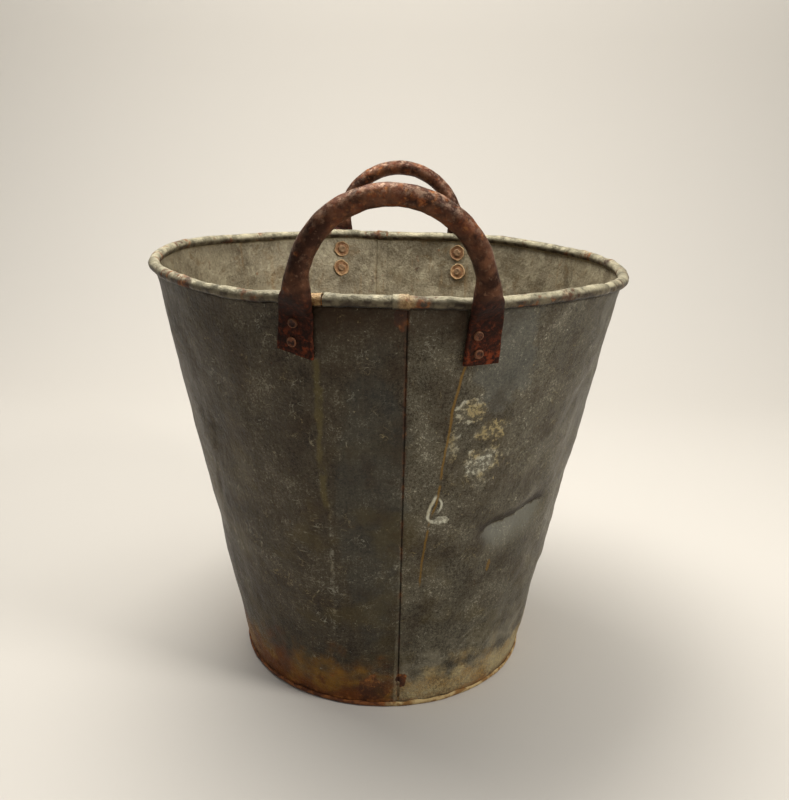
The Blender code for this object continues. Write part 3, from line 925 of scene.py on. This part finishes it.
def rust_tone(graph, seed=0.0, dark=(62, 32, 17), middle=(122, 66, 30), light=(176, 112, 52)):
    fine = graph.cloud(0.004, 5, seed=seed)
    broad = graph.cloud(0.018, 4, seed=seed + 2)
    tone = graph.mix(graph.step(broad, 0.36, 0.62), dark, middle)
    return graph.mix(graph.step(fine + broad * 0.5, 0.74, 0.98), tone, light)


# ---------------- materials
def body_finish():
    g = Graph("weathered_zinc")
    inside = g.attribute("inside")
    roll = g.attribute("roll")
    turn = g.attribute("turn")
    wall = (1.0 - inside) * (1.0 - roll)

    # bare zinc: two panels of slightly different colour, crystals, cloudy tarnish, gritty surface
    right = g.step(g.u, 0.0150, 0.0172) * (1.0 - g.step(g.u, 0.56, 0.60))
    crystals = g.cells(0.0075)
    grit = g.cloud(0.0026, 5, rough=0.75)
    sand = g.cloud(0.0012, 2, seed=95)
    tarnish = g.cloud(0.048, 5, rough=0.6, twist=0.4)
    streaks = g.cloud(0.0032, 4, vector=g.stretch(g.skin, 1.0, 0.09, 1.0))
    tone = (tarnish - 0.5) * 1.1 + (crystals - 0.5) * 0.18 + (streaks - 0.5) * 0.45
    tone = tone + (grit - 0.5) * g.blend(right, 1.9, 2.2) + (sand - 0.5) * g.blend(right, 0.9, 1.3) + 0.5
    left_tone = g.mix(g.step(tone, 0.05, 0.62), (40, 33, 26), (74, 66, 53))
    left_tone = g.mix(g.step(tone, 0.60, 1.15), left_tone, (132, 126, 108))
    right_tone = g.mix(g.step(tone, 0.05, 0.62), (58, 52, 42), (98, 92, 77))
    right_tone = g.mix(g.step(tone, 0.66, 1.34), right_tone, (186, 179, 158))
    g.base = g.mix(right, left_tone, right_tone)
    cool = g.patch(-2.5, 0.235, 0.034, 0.170, 0.45, 0.04, 5)
    g.coat(cool * wall * 0.26, (74, 78, 74))
    cool = g.patch(27, 0.380, 0.034, 0.055, 0.5, 0.02, 6)
    g.coat(cool * wall * 0.40, (100, 102, 97))

    # brown film in clouds, and a band of painted shade with dirt under the rim between the feet
    film = g.cloud(0.034, 5, seed=9, rough=0.6)
    # painted shade with dirt: a dark band under the rim, between the feet
    shade = g.step(g.v, 0.375, 0.426) * g.patch(-1, 0.42, 0.085, 0.075, 0.3, 0.02, 2)
    brown = g.step(film, 0.46, 0.66) * 0.42 + shade * 0.70
    g.coat(brown * wall, (50, 36, 22))
    olive = g.blots(0.50, 0.66, 0.045, 4, seed=12) * g.step(g.v, 0.36, 0.20)
    g.coat(olive * wall * 0.35, (92, 80, 48))
    specks = g.blots(0.64, 0.72, 0.0034, 4, seed=15) * g.blots(0.42, 0.60, 0.03, 3, seed=16)
    g.coat(specks * 0.65 * wall, (70, 44, 22))
    pits = g.blots(0.68, 0.76, 0.0019, 3, seed=17)
    g.coat(pits * 0.6 * wall, (28, 24, 18))

    # painted shade with soil on the upper face of each deep crease, painted highlight on the face below it
    crease_soil_shade_and_highlight = g.attribute("crease_soil_shade_and_highlight")
    g.coat(g.step(crease_soil_shade_and_highlight + (grit - 0.5) * 0.4, 0.25, 0.50) * 0.80 * wall, (48, 38, 31))
    g.coat(g.step(crease_soil_shade_and_highlight + (grit - 0.5) * 0.8, -0.20, -0.75) * 0.50 * wall, (140, 140, 130))

    # inside: chalky grey-beige, mottled, with brown blotches, darker towards the bottom
    chalk = (tarnish - 0.5) * 1.6 + (grit - 0.5) * 1.2 + (streaks - 0.5) * 0.3 + 0.5
    chalk = g.mix(g.step(chalk, 0.0, 1.0), (92, 80, 60), (164, 152, 124))
    blots = g.blots(0.53, 0.68, 0.022, 5, seed=23, twist=0.8, rough=0.65)
    chalk = g.mix(blots * 0.50, chalk, (112, 88, 54))
    drops = g.step(g.cloud(0.007, 4, vector=g.stretch(g.skin, 1, 0.22, 1), seed=25), 0.60, 0.74)
    chalk = g.mix(drops * 0.45, chalk, (96, 80, 56))
    chalk = g.mix((1.0 - g.step(g.v, 0.02, 0.30)) * 0.5, chalk, (86, 70, 48))
    bloom = g.blots(0.52, 0.64, 0.012, 5, seed=26, rough=0.7, twist=0.5)
    chalk = g.mix(bloom * 0.35, chalk, (190, 180, 148))
    ochre_run = g.step(g.cloud(0.012, 4, vector=g.stretch(g.skin, 1, 0.12, 1), seed=19), 0.58, 0.70)
    chalk = g.mix(ochre_run * g.step(g.v, 0.15, 0.40) * 0.35, chalk, (138, 104, 58))
    g.coat(inside * (1.0 - roll), chalk)

    # pale corrosion: lacy blots, a scrawl, scratches, flecks, a crust low down on the right
    lace = g.blots(0.47, 0.58, 0.0046, 6, seed=30, rough=0.7)
    white = g.patch(19.5, 0.332, 0.016, 0.014, 0.9, 0.010, 31)
    white = g.most(white, g.patch(25.5, 0.311, 0.018, 0.013, 1.0, 0.008, 32))
    white = g.most(white, g.patch(25.0, 0.279, 0.019, 0.017, 1.0, 0.008, 33))
    white = g.most(white, g.patch(16.0, 0.300, 0.007, 0.022, 1.0, 0.008, 29) * 0.7)
    white = white * (lace * 0.75 + 0.10)
    scrawl = g.run([(13.2, .249), (12.2, .240), (11.6, .230), (12.0, .224), (14.6, .219)], 0.0022, 0.8, 34)
    scrawl = g.most(scrawl, g.patch(14.9, 0.2235, 0.0095, 0.0042, 0.8, 0.004, 35) * (lace * 0.6 + 0.4))
    scrawl = g.most(scrawl, g.run([(14.4, .246), (14.9, .240), (14.2, .232)], 0.0016, 0.8, 26))
    white = g.most(white, scrawl)
    scratch = g.run([(-17.6, .147), (-19.2, .140), (-21.0, .133), (-21.9, .128)], 0.0016, 1.6, 36)
    worn = g.run([(-13.6, .240), (-14.2, .190), (-14.8, .140), (-15.2, .085)], 0.0034, 1.6, 37)
    white = g.most(white, g.most(scratch * lace * 0.5, worn * lace * 0.28))
    flecks = g.blots(0.62, 0.70, 0.0060, 6, seed=38, rough=0.7)
    flecks = flecks * g.blots(0.44, 0.60, 0.040, 3, seed=39)
    white = g.most(white, flecks * g.blend(right, 0.50, 0.80))
    scuffs = g.step(g.cloud(0.0030, 4, vector=g.stretch(g.skin, 0.22, 1, 1), seed=28), 0.60, 0.72)
    scuffs = scuffs * g.patch(-19, 0.150, 0.036, 0.100, 0.6, 0.02, 27)
    white = g.most(white, scuffs * 0.32)
    ribs = g.math("ABSOLUTE", g.cloud(0.016, 4, seed=24, twist=1.2) - 0.5)
    hair = (1.0 - g.step(ribs, 0.002, 0.011)) * g.blots(0.50, 0.64, 0.022, 3, seed=22)
    white = g.most(white, hair * 0.42)
    crust_low = 1.0 - g.step(g.v + g.jitter(0.09, 0.020, 5, seed=41), 0.024, 0.056)
    crust_low = crust_low * g.step(g.u + g.jitter(0.06, 0.03, 3, seed=42), 0.010, 0.045)
    crust_low = crust_low * (g.step(grit, 0.36, 0.60) * 0.6 + 0.4)
    haze = g.step(g.v, 0.105, 0.050) * right * g.blots(0.38, 0.62, 0.018, 5, seed=44)
    g.coat(haze * 0.35 * wall, (176, 168, 144))
    crumbs = g.mix(g.step(film, 0.40, 0.62), (186, 166, 118), (164, 128, 68))
    g.coat(crust_low * 0.80 * wall, crumbs)
    powder = g.mix(g.step(film, 0.42, 0.58), (204, 200, 178), (176, 158, 112))
    g.coat(white * 0.9 * wall, powder)

    # rust: haze and stains low on the left, edges, seam, under the rim
    low = 1.0 - g.step(g.v + g.jitter(0.10, 0.016, 5, seed=51), 0.010, 0.070)
    low_left = low * (1.0 - g.step(g.u + g.jitter(0.05, 0.02, 3, seed=52), 0.004, 0.024))
    ochres = g.mix(g.step(film, 0.38, 0.60), (150, 106, 34), (116, 62, 15))
    g.coat(low_left * 0.85 * wall, ochres)
    rust = low_left * g.blots(0.52, 0.68, 0.010, 5, seed=50) * 0.6
    edge_low = 1.0 - g.step(g.v + g.jitter(0.020, 0.007, 4, seed=53), 0.002, 0.014)
    rust = g.most(rust, edge_low * g.blend(right, 0.85, 0.55))
    rust = g.most(rust, g.patch(-3, 0.018, 0.016, 0.022, 0.7, 0.008, 49) * 0.8)
    seam_off = g.math("ABSOLUTE", g.attribute("x") - 0.0170)
    front = 1.0 - g.step(g.u, 0.10, 0.12)
    seam = (1.0 - g.step(seam_off + g.jitter(0.004, 0.007, 4, seed=55), 0.0004, 0.0026)) * front
    seam = seam * g.blots(0.46, 0.62, 0.024, 4, seed=56)
    rust = g.most(rust, seam * 0.5)
    rust = g.most(rust, g.patch(7.2, 0.034, 0.0062, 0.0105, 0.45, 0.006, 57))
    rust = g.most(rust, g.patch(2.9, 0.416, 0.006, 0.012, 0.7, 0.006, 58) * 0.7)
    line = (1.0 - g.step(seam_off, 0.0004, 0.0012)) * front * wall
    g.coat(line * 0.75, (30, 26, 19))
    ochre = g.run([
        (16.9, .373), (16.1, .357), (15.3, .337), (14.9, .309), (14.2, .279), (13.6, .244), (12.4, .225),
        (11.4, .189), (11.0, .151)], 0.0016, 1, 66)
    yellow = g.run([(-14.6, .376), (-14.8, .323), (-15.5, .281), (-15.0, .233)], 0.0042, 1.6, 68)
    ochre = g.most(ochre, g.patch(33.6, 0.160, 0.0022, 0.010, 0.7, 0.005, 65))
    g.coat(ochre * 0.75 * wall, (128, 96, 40))
    g.coat(yellow * 0.35 * wall, (112, 100, 54))
    rust_inside = g.blots(0.64, 0.74, 0.014, 5, seed=71) * 0.6
    rust = g.blend(wall, rust_inside * inside, rust)

    # the roll: pale on top with painted light, darker brown on its outer face with painted shade, rust
    # patches, painted shade underneath; stained left of the crack
    # painted light on the top of the roll and painted shade on its outer face, laid over its own pale and
    # brown colours
    up = g.step(turn, 0.03, 0.15) * (1.0 - g.step(turn, 0.46, 0.58))
    pale_lit_top_tone = g.jitter(2.2, 0.012, 5, seed=81) + (grit - 0.5) * 1.2 + 0.5
    pale_lit_top_tone = g.mix(g.step(pale_lit_top_tone, 0.0, 1.0), (92, 86, 66), (178, 168, 138))
    shaded_face_tone = g.mix(g.blots(0.38, 0.62, 0.010, 4, seed=82), (56, 45, 32), (104, 94, 72))
    g.coat(roll, g.mix(up, shaded_face_tone, pale_lit_top_tone))
    stain = g.step(g.u, -0.068, -0.062) * (1.0 - g.step(g.u, -0.0445, -0.0415))
    lap_stain = g.step(g.u, 0.006, 0.010) * (1.0 - g.step(g.u, 0.016, 0.022))
    lap_stain = g.most(stain, lap_stain * 0.6)
    g.coat(lap_stain * roll * 0.8, g.mix(g.step(grit, 0.4, 0.6), (132, 92, 50), (186, 150, 98)))
    ring = g.blots(0.51, 0.62, 0.021, 5, seed=83)
    ring = ring * g.blots(0.38, 0.56, 0.0055, 4, seed=84)
    rust = g.blend(roll, rust, ring * 0.85)
    # painted shade on the underside of the roll
    under = g.step(turn, -0.05, -0.12) * roll
    g.coat(rust, rust_tone(g, 90, (56, 28, 14), (106, 58, 26), (158, 98, 46)))
    g.coat(under * 0.85, (26, 20, 15))

    dull = g.most(rust, g.most(white, crust_low) * wall * 0.8, clamp=True)
    metallic = (1.0 - dull) * g.blend(inside, 0.60, 0.20)
    roughness = 0.42 + crystals * 0.10 + dull * 0.30 + (grit - 0.5) * 0.6
    crust = g.attribute("crust")
    scale = g.cloud(0.0026, 5, seed=96, rough=0.65)
    height = sand * 0.20 + scale * (0.8 + crust * 0.9) + g.cloud(0.009, 4, seed=97) * 1.4
    return g.close(metallic, roughness, height, 0.0010)


def base_finish():
    g = Graph("rusty_base")
    tone = g.mix(g.blots(0.38, 0.62, 0.03, 4), (96, 80, 58), (138, 118, 86))
    rust = g.blots(0.44, 0.66, 0.026, 5, seed=3, rough=0.65) * 0.8
    g.base = g.mix(rust, tone, rust_tone(g, 6, (50, 30, 18), (88, 56, 32), (128, 82, 44)))
    hem = g.attribute("hem")
    right = g.step(g.u + g.jitter(0.05, 0.02, 3, seed=4), 0.004, 0.026)
    right = right * (1.0 - g.step(g.u, 0.30, 0.40))
    brown = g.mix(g.blots(0.40, 0.60, 0.007, 5, seed=5), (84, 44, 22), (142, 86, 42))
    cream = g.mix(g.blots(0.40, 0.60, 0.009, 5, seed=8), (138, 100, 54), (194, 168, 118))
    g.coat(hem, g.mix(right, brown, cream))
    red = hem * g.patch(-17, 0.006, 0.014, 0.012, 0.6, 0.006, 9)
    g.coat(red * 0.8, (120, 44, 22))
    grit = g.cloud(0.0012, 3, seed=10)
    scale = g.cloud(0.003, 5, seed=11)
    metallic = (1.0 - g.most(rust, hem)) * 0.35
    return g.close(metallic, 0.66 + (grit - 0.5) * 0.3, grit * 0.14 + scale * 0.8, 0.0008)


def wire_finish():
    g = Graph("rusty_wire")
    grit = g.cloud(0.0015, 4, seed=2)
    g.base = rust_tone(g, 1)
    return g.close(0.1, 0.78 + (grit - 0.5) * 0.2, grit, 0.0003)


def handle_finish():
    g = Graph("dark_patina")
    foot = g.attribute("foot")
    top = g.attribute("top")
    end = g.attribute("end")
    broad = g.cloud(0.020, 5, seed=1)
    fine = g.cloud(0.0040, 5, seed=2, rough=0.7)
    level = g.attribute("z")
    g.base = g.mix(g.step(broad, 0.36, 0.64), (50, 29, 19), (104, 68, 48))
    g.coat(g.step(fine, 0.54, 0.72) * 0.5, (142, 110, 88))
    shoulder = g.step(level + g.jitter(0.05, 0.016, 4, seed=3), 0.470, 0.512)
    orange = g.blots(0.44, 0.62, 0.009, 5, seed=4, rough=0.65)
    rust = g.most(shoulder * orange * 0.75, g.blots(0.58, 0.70, 0.015, 5, seed=6) * 0.7)
    g.coat(rust, rust_tone(g, 7, (74, 34, 18), (126, 66, 32), (176, 112, 58)))
    # painted highlight: pale specks on the upper side of the arch
    worn = top * g.blots(0.46, 0.62, 0.0055, 5, seed=9, rough=0.7) * (1.0 - foot)
    g.coat(worn * 0.62, (182, 152, 126))
    char = g.blots(0.52, 0.64, 0.011, 5, seed=14, rough=0.65)
    g.coat(char * 0.55, (38, 22, 15))
    soot = g.mix(g.step(fine, 0.42, 0.66), (26, 9, 4), (66, 26, 11))
    g.coat(g.step(foot, 0.0, 0.55) * 0.95, soot)
    red = g.blots(0.50, 0.64, 0.008, 5, seed=12, rough=0.65) * g.step(end, 0.030, 0.012)
    g.coat(red * 0.7, (122, 54, 26))
    rim_light = g.step(fine, 0.60, 0.72) * foot
    g.coat(rim_light * 0.6, (150, 92, 52))
    grit = g.cloud(0.0011, 3, seed=10)
    scale = g.cloud(0.0032, 5, seed=11, rough=0.6)
    dull = g.most(rust, foot)
    roughness = 0.44 + dull * 0.26 + (grit - 0.5) * 0.3
    height = grit * 0.16 + scale * (0.6 + rust * 0.4)
    metallic = (1.0 - g.most(dull, g.step(foot, 0.0, 0.4))) * 0.35
    return g.close(metallic, roughness, height, 0.0010, 0.12)


def rivet_finish():
    g = Graph("rusty_rivet")
    rise = g.attribute("rise")
    edge = g.step(g.attribute("far"), 0.24, 0.40)
    g.base = g.mix(g.blots(0.40, 0.60, 0.0028, 4), (46, 24, 15), (98, 56, 34))
    # painted highlight on the raised rim of the rivet head
    g.coat(edge * g.step(rise, 0.6, 1.0) * 0.35, (150, 104, 70))
    g.coat(g.step(rise, -0.1, -0.3) * 0.6, (158, 128, 92))
    grit = g.cloud(0.0011, 4, seed=1)
    return g.close(0.25, 0.62 + (grit - 0.5) * 0.3, grit, 0.0004)


def washer_finish():
    g = Graph("rusty_washer")
    g.base = rust_tone(g, 2, (120, 82, 52), (154, 112, 74), (186, 148, 104))
    # painted highlight on the raised rim of the washer
    g.coat(g.step(g.attribute("far"), 0.70, 0.95) * 0.40, (190, 164, 122))
    grit = g.cloud(0.0013, 4, seed=1)
    return g.close(0.15, 0.66 + (grit - 0.5) * 0.3, grit + g.cloud(0.004, 4, seed=4), 0.0005)


# ---------------- stage, light, camera
def plain(name, tone, roughness):
    material = bpy.data.materials.new(name)
    material.use_nodes = True
    surface = material.node_tree.nodes["Principled BSDF"]
    surface.inputs["Base Color"].default_value = tone
    surface.inputs["Roughness"].default_value = roughness
    return material


def stage():
    rows = [(y, 0.0) for y in np.linspace(-4.0, 0.9, 10)]
    rows += [(0.9 + 0.8 * sin(a), 0.8 - 0.8 * cos(a)) for a in np.linspace(0, pi / 2, 14)[1:]]
    rows += [(1.7, z) for z in np.linspace(0.8, 3.5, 6)[1:]]
    points = [(x, y, z) for y, z in rows for x in np.linspace(-4, 4, 5)]
    faces = []
    for i in range(len(rows) - 1):
        for k in range(4):
            a = i * 5 + k
            faces.append((a, a + 1, a + 6, a + 5))
    sweep = put("studio_sweep", points, faces, smooth_angle=None)
    sweep.data.materials.append(plain("pale_paper", colour(196, 190, 180), 0.9))


def lamp(name, place, aim, size, power, tone):
    light = bpy.data.lights.new(name, "AREA")
    light.shape = "RECTANGLE"
    light.size, light.size_y = size
    light.energy = power
    light.color = tone
    thing = bpy.data.objects.new(name, light)
    thing.location = place
    thing.rotation_euler = (Vector(aim) - Vector(place)).to_track_quat("-Z", "Y").to_euler()
    bpy.context.scene.collection.objects.link(thing)


def camera():
    pitch, roll = VIEW_PITCH, VIEW_ROLL
    right = Vector((1.0, 0.0, 0.0))
    forward = Vector((0.0, cos(pitch), -sin(pitch)))
    up = Vector((0.0, sin(pitch), cos(pitch)))
    across = right * cos(roll) + up * sin(roll)
    upward = up * cos(roll) - right * sin(roll)
    data = bpy.data.cameras.new("view")
    data.lens, data.sensor_width = VIEW_LENS, VIEW_FRAME
    thing = bpy.data.objects.new("view", data)
    turn = Matrix((across, upward, -forward)).transposed().to_4x4()
    thing.matrix_world = Matrix.Translation(VIEW_PLACE) @ turn
    bpy.context.scene.collection.objects.link(thing)
    bpy.context.scene.camera = thing


def main():
    body = body_finish()
    panel("right_panel_skin", 0.0, "body_panel_right", body)
    panel("left_panel_skin", pi, "body_panel_left", body)
    base_piece(base_finish())
    wire_piece(wire_finish())
    handle_steel = handle_finish()
    for where, handle in HANDLES.items():
        handle_piece(where, handle, handle_steel)
    fasteners(rivet_finish(), washer_finish())

    stage()
    lamp("overhead", (-0.35, 0.25, 1.9), (0.0, 0.0, 0.35), (1.1, 0.9), 34, WARM)
    lamp("key", (1.25, -0.85, 1.45), (0.0, 0.0, 0.25), (0.45, 0.45), 22, WARM)
    lamp("backdrop", (0.0, 0.3, 2.4), (0.0, 1.7, 0.9), (2.4, 0.6), 34, (1.0, 0.995, 0.98))
    world = bpy.data.worlds.new("soft_sky")
    world.use_nodes = True
    sky = world.node_tree.nodes["Background"].inputs
    sky["Color"].default_value = (0.9, 0.94, 1.0, 1.0)
    sky["Strength"].default_value = 0.25
    bpy.context.scene.world = world
    bpy.context.scene.view_settings.view_transform = "Standard"
    camera()


main()
